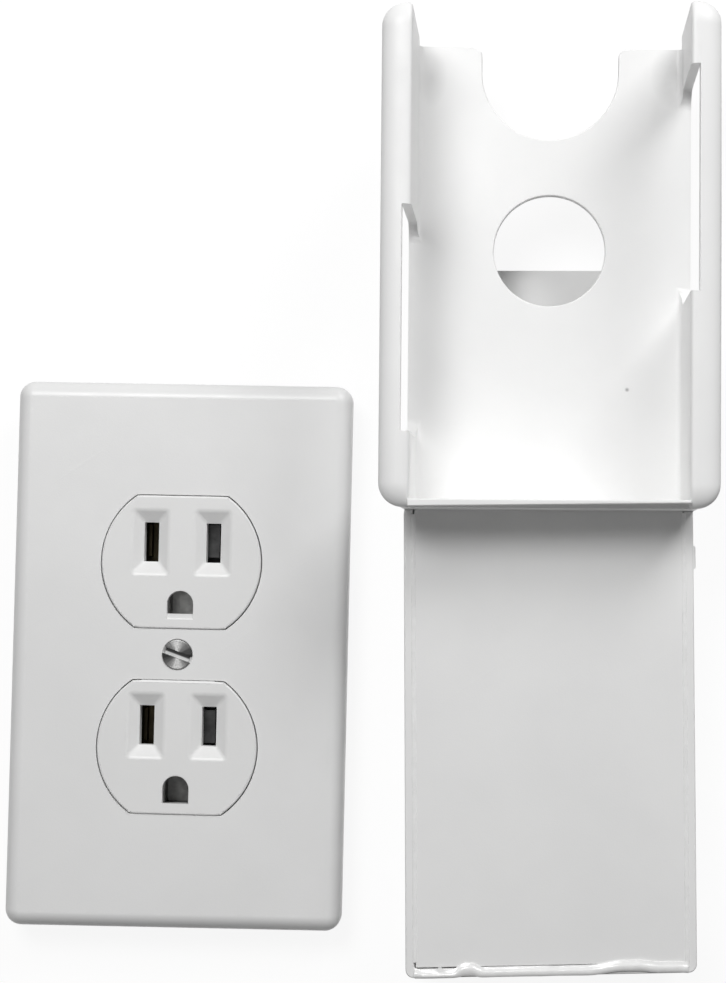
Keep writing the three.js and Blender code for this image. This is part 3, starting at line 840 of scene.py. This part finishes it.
def makeBackWall():
    s = insert
    top = s["backTop"] + 2
    wall = addBlock("back", (-s["boxHalf"], 0, s["backRear"]), (s["boxHalf"], top, s["backFront"]))
    trimTop(wall)
    low, high = s["backRear"] - 2, s["backFront"] + 2
    foot = addRod("foot", 0, s["notchCentre"], s["notchHalf"], low, high, sides=128)
    half = s["notchHalf"]
    mouth = addBlock("mouth", (-half, s["notchCentre"], low), (half, s["backTop"] + past, high))
    hole = addRod("hole", 0, s["holeHeight"], s["holeRadius"], low, high, sides=128)
    carve(wall, hole, foot, mouth)
    cleanUp(wall)

    def lip(a, b):
        return upright(a, b) and near(abs(a.x), s["notchHalf"]) and near(a.y, s["backTop"], 1)

    def rim(a, b):
        inside = max(abs(a.x), abs(b.x)) < s["rimWithin"] and min(a.y, b.y) > s["rimAbove"]
        return near(a.z, b.z) and inside
    roundEdges(wall, lip, s["notchLip"], steps=8)
    roundEdges(wall, rim, s["rimEdge"])
    weld(wall, makeRootFillet(1), makeRootFillet(-1))
    return wall


# The ledge's lower side rises a little to the right in front of the pocket
def makeLedge():
    s = insert
    half, top = s["ledgeHalf"], s["ledge"]
    ledge = addBlock("ledge", (-half, 0, pocket["front"]), (half, top, s["railFront"]))
    middle = s["ledgeLow"] + s["ledgeRise"] / 2
    sliceOff(ledge, (0, middle, 0), (s["ledgeRise"] / half / 2, -1, 0))
    roundEdges(ledge, atLevel(2, s["railFront"]), s["ledgeEdge"], steps=6)
    half = s["boxHalf"]
    root = addBlock("root", (-half, s["rootFoot"], s["backRear"]), (half, top, s["railBack"]))
    weld(ledge, root)
    return ledge


def windowEnds(side):
    middle, half = insert["windowMiddles"][side], insert["windowLength"] / 2
    return middle - half, middle + half


def cutWindow(piece, side):
    s = insert
    low, high = windowEnds(side)
    left, right = sorted((side * (s["cavityHalf"] - 3), side * s["boxHalf"]))
    outerLeft, outerRight = left - (2 if side < 0 else 0), right + (2 if side > 0 else 0)
    window = addBlock("window", (outerLeft, low, s["backFront"]), (outerRight, high, s["railBack"]))

    def corner(a, b):
        return atLevel(2, s["backFront"])(a, b) and near(a.y, b.y)
    roundEdges(window, corner, s["windowCorner"], steps=10)
    gap = addBlock("gap", (left, low, s["railBack"] - 1), (right, high, s["railFront"] + past))
    carve(piece, window, gap)


# Takes the sharpness off the windows' jambs and off the rails where they are cut back
def softenWindow(piece, side):
    s = insert
    low, high = windowEnds(side)

    def wanted(a, b):
        jamb = near(a.y, b.y) and (near(a.y, low) or near(a.y, high))
        innerTop, frontFrom = s["railBack"] + s["jambInside"], s["cavityHalf"] + s["jambOutside"]
        inner = all(near(co.x, side * s["cavityHalf"]) and co.z < innerTop for co in (a, b))
        front = all(side * co.x > frontFrom and near(co.z, s["railFront"]) for co in (a, b))
        cutBack = front and all(near(co.x, side * s["boxHalf"]) for co in (a, b)) and not near(a.y, b.y)
        return (jamb and (inner or front)) or (cutBack and low - slack < (a.y + b.y) / 2 < high + slack)
    roundEdges(piece, wanted, s["windowEdge"], steps=2)


def makeFrontFrame():
    frontFrame = makeRails()
    cutBesideWalls(frontFrame)
    weld(frontFrame, makeBackWall(), makeLedge())
    for side in (1, -1):
        cutWindow(frontFrame, side)
    cleanUp(frontFrame)
    for side in (1, -1):
        softenWindow(frontFrame, side)
    turnPoints(frontFrame, lambda co: True, insert["lean"], 0, insert["leanMiddle"])
    shiftPoints(frontFrame, lambda co: co.z < insert["shiftBelow"], (insert["backShift"], 0, 0))
    sliceOff(frontFrame, (insert["railHalf"], 0, 0), (1, 0, 0))
    sliceOff(frontFrame, (0, insert["railTop"], 0), (0, 1, 0))
    cleanUp(frontFrame)
    seat(frontFrame, "insert", "insert_plastic", insertPlasticPaintedLighter, "front_frame")


makeFrontFrame()
print("front frame made")


# Cuts a piece off at the pocket's slanted lower end, or at a line inside it
def cutFoot(piece, inset=0.0):
    slant = math.radians(pocket["slant"])
    rise = inset / math.cos(slant) - pocket["foot"]
    sliceOff(piece, (0, rise, 0), (math.sin(slant), -math.cos(slant), 0))


def lowCorner(a, b):
    return upright(a, b) and a.y < pocket["cornersBelow"]


def makeNub():
    p = pocket
    low = (p["outer"] - 1, p["nubMiddle"] - p["nubHalf"], p["nubLow"])
    high = (p["outer"] + p["nubProud"], p["nubMiddle"] + p["nubHalf"], p["front"] - p["nubBehind"])
    nub = addBlock("nub", low, high)
    roundEdges(nub, lambda a, b: min(a.x, b.x) > p["outer"], p["nubEdge"], steps=4)
    return nub


# The pocket is glued on a little askew: it turns below the ledge and follows the frame above
def leanPocket(piece):
    p = pocket
    pick(piece)
    bpy.ops.object.mode_set(mode="EDIT")
    bpy.ops.mesh.select_all(action="SELECT")
    bpy.ops.mesh.bisect(plane_co=(0, p["fold"], 0), plane_no=(0, 1, 0))
    leaveEdit()
    turnPoints(piece, lambda co: co.y > p["foldAbove"], insert["lean"], 0, insert["leanMiddle"])
    shiftPoints(piece, lambda co: co.y > p["foldAbove"], (insert["backShift"], 0, 0))
    turnPoints(piece, lambda co: co.y < p["foldAbove"], p["lean"], 0, p["leanMiddle"])


def makeRearTray():
    p = pocket
    beyond = -p["foot"] - 4
    rearTray = addBlock("rearTray", (-p["outer"], beyond, 0), (p["outer"], p["top"], p["front"]))
    cutFoot(rearTray)
    roundEdges(rearTray, lowCorner, p["cornerRadius"], steps=8)
    roundEdges(rearTray, atLevel(2, 0), p["rearEdge"])
    top, front = p["top"] + past, p["front"] + past
    hollow = addBlock("hollow", (-p["inner"], beyond, p["floor"]), (p["inner"], top, front))
    cutFoot(hollow, p["wall"])
    roundEdges(hollow, lowCorner, p["innerRadius"], steps=5)
    roundEdges(hollow, atLevel(2, p["floor"]), p["floorEdge"])
    step = addBlock("step", (-p["stepHalf"], p["shoulder"], p["mouthFront"]), (p["stepHalf"], top, front))
    carve(rearTray, hollow, step)
    cleanUp(rearTray)

    def topEdge(a, b):
        return atLevel(2, p["floor"])(a, b) and atLevel(1, p["top"])(a, b)
    roundEdges(rearTray, atLevel(2, p["front"]), p["rimEdge"])
    roundEdges(rearTray, topEdge, p["rimEdge"])
    weld(rearTray, makeNub())
    cleanUp(rearTray)
    leanPocket(rearTray)
    seat(rearTray, "insert", "insert_plastic", trayPlastic, "rear_tray")


def makePocketPanel():
    p = pocket
    half, beyond = p["panelHalf"], -p["foot"] - 4
    pocketPanel = addBlock("pocketPanel", (-half, beyond, p["panelBack"]), (half, p["shoulder"], p["front"]))
    cutFoot(pocketPanel, p["wall"] + p["seam"])
    roundEdges(pocketPanel, lambda a, b: min(a.y, b.y) < p["shoulder"] - slack, p["panelEdge"])
    leanPocket(pocketPanel)
    seat(pocketPanel, "insert", "insert_plastic", trayPlastic, "pocket_front_panel")


makeRearTray()
makePocketPanel()
print("pocket made")


beads = {
    "sideHalf": 0.45,
    "sideHeight": 0.12,
    "sideTop": -0.3,
    "sideFeet": {-1: -89.6, 1: -90.2},
    "footHalf": 0.87,
    "footHeight": 0.62,
    "sunk": 0.02,
    "footRise": 1.15,
    "crestShift": 0.42,
    "crestFrom": 0.45,
    "rings": 160,
    "sides": 24,
    "bumpRise": 0.1,
    "lump": 0.14,
    "lumpSize": 5.0,
    "smoothAngle": 60,
    "bumps": (
        (-22.6, 3.4, -0.4, 1.4),
        (-22.0, 0.3, 0.5, 0.6),
        (-16.3, 0.8, 0.85, 2.4),
        (14.8, 0.8, 0.8, 6.5),
        (22.0, 3.0, 0.3, 3.5),
    ),
}


# A long rod of oval section lying along X, with rings enough to be shaped
def addBead(name, length, half, height):
    bpy.ops.object.select_all(action="DESELECT")
    across = (0, math.pi / 2, 0)
    bpy.ops.mesh.primitive_cylinder_add(vertices=beads["sides"], radius=1, depth=length, rotation=across)
    bead = settle(name)
    markEdges(bead, lambda a, b: abs(a.x - b.x) > length / 2)
    bpy.ops.mesh.subdivide(number_cuts=beads["rings"])
    bpy.ops.mesh.select_all(action="SELECT")
    bpy.ops.transform.resize(value=(1, half, height), center_override=(0, 0, 0))
    leaveEdit()
    return bead


# Uneven as set glue is: waves from a noise field, and bumps where more ran out, each with its place
# along the bead, half its crest's length, how far it is pushed and how far it pulls the rest along
def runOut(bead, amount, bumps=()):
    waves = bpy.data.textures.new("glue waves", "CLOUDS")
    waves.noise_scale = beads["lumpSize"]
    swell = bead.modifiers.new("swell", "DISPLACE")
    swell.texture = waves
    swell.texture_coords = "LOCAL"
    swell.strength = amount
    applyModifier(bead, swell)
    for place, hold, push, reach in bumps:
        markPoints(bead, lambda co: abs(co.x - place) < hold and co.y > 0)
        bpy.ops.transform.translate(
            value=(0, push, beads["bumpRise"]),
            use_proportional_edit=True,
            proportional_edit_falloff="SMOOTH",
            proportional_size=reach,
        )
        leaveEdit()


def placeBead(bead, turn, place):
    pick(bead)
    bead.rotation_euler.z = math.radians(turn)
    bead.location = place
    bpy.ops.object.transform_apply(location=True, rotation=True, scale=True)
    sliceOff(bead, (0, 0, pocket["front"] - beads["sunk"]), (0, 0, -1))
    leanPocket(bead)


def makeSideBead(side, name, node):
    foot = beads["sideFeet"][side]
    length = beads["sideTop"] - foot
    bead = addBead(name, length, beads["sideHalf"], beads["sideHeight"])
    runOut(bead, beads["lump"] * 0.5)
    x = side * (pocket["inner"] - slack)
    placeBead(bead, 90 * side, (x, (beads["sideTop"] + foot) / 2, pocket["front"]))
    seat(bead, "insert", "glue", glue, node, smoothAngle=beads["smoothAngle"])


def makeFootBead():
    bead = addBead("footBead", pocket["inner"] * 2, beads["footHalf"], beads["footHeight"])
    crest = beads["footHeight"] * beads["crestFrom"]
    shiftPoints(bead, lambda co: co.z > crest, (0, -beads["crestShift"], 0))
    runOut(bead, beads["lump"], beads["bumps"])
    slant = math.radians(pocket["slant"])
    rise = beads["footRise"] / math.cos(slant) - pocket["foot"]
    placeBead(bead, pocket["slant"], (0, rise, pocket["front"]))
    seat(bead, "insert", "glue", glue, "bottom_glue_seam", smoothAngle=beads["smoothAngle"])


makeSideBead(-1, "leftBead", "left_glue_seam")
makeSideBead(1, "rightBead", "right_glue_seam")
makeFootBead()
print("glue beads made")


plate = {
    "halfWidth": 35.26,
    "halfHeight": 57.0,
    "rim": 6.0,
    "face": 12.0,
    "skin": 1.8,
    "wall": 1.6,
    "rimRadius": 3.3,
    "cornerRadius": 3.4,
    "rearEdge": 0.3,
    "hollowEdge": 0.8,
    "footTurn": 0.5,
    "topShift": -0.22,
    "middleHalf": 45.0,
    "openingRadius": 16.93,
    "openingFlats": (13.97, -13.96),
    "openingCorner": 1.8,
    "openingEdge": 0.16,
    "aside": 0.36,
    "boreRadius": 1.9,
    "sinkRadius": 4.2,
    "sinkDepth": 1.5,
    "sinkEdge": 0.08,
    "mouthWithin": 20.0,
    "sinkWithin": 4.0,
}

# Heights of each outlet's middle, of its blade slots and of its ground hole
outletRows = (
    {"middle": 19.3, "slots": 23.4, "ground": 10.4, "lip": 0.95},
    {"middle": -19.27, "slots": -14.83, "ground": -28.05, "lip": 0},
)


# A round bar with its top and bottom cut flat, and the corners this leaves made round
def addOutletBar(name, y, radius, flats, low, high):
    bar = addRod(name, plate["aside"], y, radius, low, high, sides=144)
    top, bottom = y + flats[0], y + flats[1]
    sliceOff(bar, (0, top, 0), (0, 1, 0))
    sliceOff(bar, (0, bottom, 0), (0, -1, 0))

    def corner(a, b):
        return upright(a, b) and (near(a.y, top) or near(a.y, bottom))
    roundEdges(bar, corner, plate["openingCorner"], steps=4)
    return bar


def makePlateHollow():
    s = plate
    x, y = s["halfWidth"] - s["wall"], s["halfHeight"] - s["wall"]
    hollow = addBlock("hollow", (-x, -y, 0), (x, y, s["face"] - s["skin"]))
    roundEdges(hollow, upright, s["cornerRadius"] - s["wall"], steps=8)
    roundEdges(hollow, atLevel(2, s["face"] - s["skin"]), s["hollowEdge"], steps=4)
    return hollow


def makeWallPlate():
    s = plate
    x, y = s["halfWidth"], s["halfHeight"]
    wallPlate = addBlock("wallPlate", (-x, -y, s["rim"]), (x, y, s["face"]))
    roundEdges(wallPlate, upright, s["cornerRadius"], steps=10)
    roundEdges(wallPlate, atLevel(2, s["face"]), s["rimRadius"], steps=12)
    roundEdges(wallPlate, atLevel(2, s["rim"]), s["rearEdge"])
    turnPoints(wallPlate, lambda co: co.y < -s["middleHalf"], s["footTurn"], 0, -s["halfHeight"])
    shiftPoints(wallPlate, lambda co: co.y > s["middleHalf"], (0, s["topShift"], 0))
    carve(wallPlate, makePlateHollow())
    low, high = s["face"] - 4, s["face"] + 2
    radius, flats = s["openingRadius"], s["openingFlats"]
    for row in outletRows:
        carve(wallPlate, addOutletBar("opening", row["middle"], radius, flats, low, high))
    bore = addRod("bore", 0, 0, s["boreRadius"], low, high, sides=48)
    sinkLow, sinkHigh = s["face"] - s["sinkDepth"], s["face"] + 1
    sink = addRod("sink", 0, 0, s["boreRadius"], sinkLow, sinkHigh, topRadius=s["sinkRadius"])
    carve(wallPlate, bore, sink)
    cleanUp(wallPlate)

    def mouth(a, b):
        return atLevel(2, s["face"])(a, b) and max(abs(a.x), abs(b.x)) < s["mouthWithin"]

    def outlets(a, b):
        return mouth(a, b) and a.xy.length > s["sinkWithin"]

    def sinkRim(a, b):
        return mouth(a, b) and a.xy.length < s["sinkWithin"]
    roundEdges(wallPlate, outlets, s["openingEdge"])
    roundEdges(wallPlate, sinkRim, s["sinkEdge"], steps=2)
    seat(wallPlate, "plate", "plate_plastic", platePlastic, "wall_plate", onCover=True)


makeWallPlate()
print("wall plate made")


outlet = {
    "radius": 16.72,
    "flats": (13.82, -13.91),
    "top": 12.4,
    "edge": 0.4,
    "shoulderTop": 9.9,
    "shoulderLow": 8.1,
    "shoulderHalf": (18.6, 36.4),
    "shoulderRadius": 2.0,
    "shoulderEdge": 0.25,
    "placeInset": 0.5,
    "placeFlats": (13.2, -13.3),
    "boreRadius": 2.2,
    "slotSize": (3.05, 8.2),
    "slotX": 6.53,
    "funnelSize": (7.5, 13.4),
    "funnelDepth": 1.6,
    "funnelEdge": 0.5,
    "groundWidth": 5.45,
    "groundHeight": 5.7,
    "groundEdge": 0.15,
    "groundHollow": 1.5,
    "mouthAbove": 0.6,
    "overlap": 0.3,
    "shell": 1.5,
    "lipDrop": 0.4,
    "screwPlaces": ((14.6, 33.2), (-14.6, 33.2), (-14.6, -33.2), (14.6, -33.2)),
    "screwHoleRadius": 1.5,
    "screwHoleDepth": 1.7,
}


# Wide above the face, and narrowed at its foot to the blade slot
def addFunnel(x, y):
    s = outlet
    flare = 1 + 1 / s["funnelDepth"]
    half = [(slot + (mouth - slot) * flare) / 2 for slot, mouth in zip(s["slotSize"], s["funnelSize"])]
    low, high = s["top"] - s["funnelDepth"], s["top"] + 1
    funnel = addBlock("funnel", (x - half[0], y - half[1], low), (x + half[0], y + half[1], high))
    markFaces(funnel, lambda place, normal: normal.z < -0.9)
    narrow = [slot / 2 / wide for slot, wide in zip(s["slotSize"], half)]
    bpy.ops.transform.resize(value=(*narrow, 1), center_override=(x, y, low))
    leaveEdit()
    roundEdges(funnel, lambda a, b: not near(a.z, b.z), s["funnelEdge"], steps=4)
    return funnel


def addBladeSlot(x, y):
    s = outlet
    width, height = s["slotSize"]
    low, high = s["shoulderLow"] - 1, s["top"] - s["funnelDepth"] + s["overlap"]
    slot = addBlock("slot", (x - width / 2, y - height / 2, low), (x + width / 2, y + height / 2, high))
    weld(slot, addFunnel(x, y))
    return slot


# Round above and square below, through a thin shell with a wider hollow behind it
def addGroundHole(y, lip):
    s = outlet
    x, half, low, high = plate["aside"], s["groundWidth"] / 2, s["shoulderLow"] - 1, s["top"] + 1
    foot, crown = y - s["groundHeight"] / 2, y + s["groundHeight"] / 2 - half
    hole = addBlock("hole", (x - half, foot + lip, low), (x + half, crown, high))
    wide, inner = half + s["groundHollow"], s["top"] - s["shell"]
    behind = addBlock("behind", (x - wide, foot - 1, low), (x + wide, crown + half + 1, inner))
    dome = addRod("crown", x, crown, half, low, high, sides=48)
    sliceOff(dome, (0, crown - 0.5, 0), (0, -1, 0))
    weld(hole, dome, behind)
    return hole


# Shallow step at the ground hole's square end
def addLip(y, lip):
    s = outlet
    x, half, foot = plate["aside"], s["groundWidth"] / 2, y - s["groundHeight"] / 2
    low = (x - half, foot - slack, s["top"] - s["lipDrop"])
    return addBlock("step", low, (x + half, foot + lip + s["overlap"], s["top"] + 1))


def makeIsland(row):
    s = outlet
    island = addOutletBar("island", row["middle"], s["radius"], s["flats"], s["shoulderLow"], s["top"])
    roundEdges(island, atLevel(2, s["top"]), s["edge"], steps=4)
    for side in (1, -1):
        carve(island, addBladeSlot(plate["aside"] + side * s["slotX"], row["slots"]))
    carve(island, addGroundHole(row["ground"], row["lip"]))
    if row["lip"]:
        carve(island, addLip(row["ground"], row["lip"]))
    cleanUp(island)

    def mouth(a, b):
        middle = Vector((plate["aside"], row["middle"]))
        inside = max((co.xy - middle).length for co in (a, b)) < s["radius"] - 1
        foot = middle.y + s["flats"][1] + s["mouthAbove"]
        return atLevel(2, s["top"])(a, b) and inside and min(a.y, b.y) > foot

    def overFunnel(a, b):
        return mouth(a, b) and min(a.y, b.y) > row["ground"] + s["groundHeight"] / 2 + 0.5
    roundEdges(island, lambda a, b: mouth(a, b) and not overFunnel(a, b), s["groundEdge"])
    roundEdges(island, overFunnel, s["funnelEdge"], steps=4)
    return island


def makeOutletFace():
    s = outlet
    halfWidth, halfHeight = s["shoulderHalf"]
    low, high = s["shoulderLow"], s["shoulderTop"]
    outletFace = addBlock("outletFace", (-halfWidth, -halfHeight, low), (halfWidth, halfHeight, high))
    roundEdges(outletFace, upright, s["shoulderRadius"], steps=6)
    roundEdges(outletFace, atLevel(2, high), s["shoulderEdge"])
    carve(outletFace, addRod("bore", 0, 0, s["boreRadius"], low - 1, high + 1, sides=48))
    for x, y in s["screwPlaces"]:
        depth = low + s["screwHoleDepth"]
        carve(outletFace, addRod("screwHole", x, y, s["screwHoleRadius"], low - 1, depth, sides=32))
    radius = s["radius"] - s["placeInset"]
    for row in outletRows:
        carve(outletFace, addOutletBar("place", row["middle"], radius, s["placeFlats"], low - 1, high + 1))
        weld(outletFace, makeIsland(row))
    cleanUp(outletFace)
    seat(outletFace, "receptacle", "outlet_plastic", outletPlastic, "receptacle_face", onCover=True)


makeOutletFace()
print("outlet faces made")


# Shank with its thread: rings along it, every second one drawn in
def makeShank(low, high):
    s = screw
    shank = addRod("shank", 0, 0, s["shankRadius"], low, high, sides=48)
    steps = 2 * int((high - low) / s["thread"])
    pitch = (high - low) / steps
    markEdges(shank, lambda a, b: abs(a.z - b.z) > 1)
    bpy.ops.mesh.subdivide(number_cuts=steps - 1)
    leaveEdit()
    markPoints(shank, lambda co: round((co.z - low) / pitch) % 2 == 0)
    draw = 1 - s["threadDepth"] / s["shankRadius"]
    bpy.ops.transform.resize(value=(draw, draw, 1), center_override=(0, 0, 0))
    leaveEdit()
    return shank


def makePlateScrew():
    s = screw
    top = s["seat"] + s["dome"]
    plateScrew = addRod("plateScrew", 0, 0, s["headRadius"], s["seat"], top)
    roundEdges(plateScrew, atLevel(2, top), s["dome"] * s["edgeShare"], steps=4)
    neck = s["seat"] - s["coneDepth"]
    cone = addRod("cone", 0, 0, s["shankRadius"], neck, s["seat"], topRadius=s["headRadius"])
    weld(plateScrew, cone, makeShank(top - s["length"], neck + slack))
    half = s["slotWidth"] / 2
    slot = addBlock("slot", (-past, -half, top - s["slotDepth"]), (past, half, top + 1))
    pick(slot)
    slot.rotation_euler.z = math.radians(s["slotTurn"])
    bpy.ops.object.transform_apply(location=True, rotation=True, scale=True)
    carve(plateScrew, slot)
    cleanUp(plateScrew)
    seat(plateScrew, "screw", "screw_steel", screwSteel, "plate_screw", onCover=True)


makePlateScrew()
print("plate screw made")


# Distance in metres, angles in degrees
softening = {"merge": 0.000002, "flatBelow": 0.6, "roundAbove": 32, "steps": 3}


# A softened copy of a frame node, in metres where it lies: doubles merged, flat faces joined, edges rounded
def soften(node, name, body, slotName, material, radius):
    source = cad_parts[node]
    bpy.ops.object.select_all(action="DESELECT")
    piece = source.copy()
    piece.data = source.data.copy()
    piece.parent = None
    piece.name = name
    for key in list(piece.keys()):
        del piece[key]
    scene.collection.objects.link(piece)
    pick(piece)
    bpy.ops.object.mode_set(mode="EDIT")
    bpy.ops.mesh.select_all(action="SELECT")
    bpy.ops.mesh.remove_doubles(threshold=softening["merge"])
    bpy.ops.mesh.dissolve_limited(angle_limit=math.radians(softening["flatBelow"]))
    bpy.ops.mesh.customdata_custom_splitnormals_clear()
    leaveEdit()
    edge = piece.modifiers.new("edge", "BEVEL")
    edge.width = radius * mm
    edge.segments = softening["steps"]
    edge.limit_method = "ANGLE"
    edge.angle_limit = math.radians(softening["roundAbove"])
    applyModifier(piece, edge)
    smoothShading(piece)
    handOver(piece, body, slotName, material, node)


soften("receptacle_base", "receptacleBase", "receptacle", "base_plastic", basePlastic, 0.25)
soften("ground_strap", "groundStrap", "receptacle", "strap_steel", strapSteel, 0.12)
soften("upper_ground_contact", "upperGroundClip", "receptacle", "contact_brass", clipSteel, 0.1)
soften("lower_ground_contact", "lowerGroundClip", "receptacle", "contact_brass", shadeDarkenedClipSteel, 0.1)
soften("upper_strap_rivet", "upperRivet", "receptacle", "strap_steel", strapSteel, 0.2)
soften("lower_strap_rivet", "lowerRivet", "receptacle", "strap_steel", strapSteel, 0.2)
soften("neutral_contacts", "neutralStrip", "receptacle", "contact_brass", contactBrass, 0.1)
soften("hot_contacts", "hotStrip", "receptacle", "contact_steel", contactSteel, 0.1)
for number in range(1, 5):
    soften(f"housing_screw_{number}", f"housingScrew{number}", "receptacle", "strap_steel", strapSteel, 0.15)
soften("right_snap_arm", "rightSnapArm", "right_arm", "insert_plastic", trayPlastic, 0.25)
soften("left_snap_arm", "leftSnapArm", "left_arm", "insert_plastic", trayPlastic, 0.25)
print("base, strap, contacts and arms made")
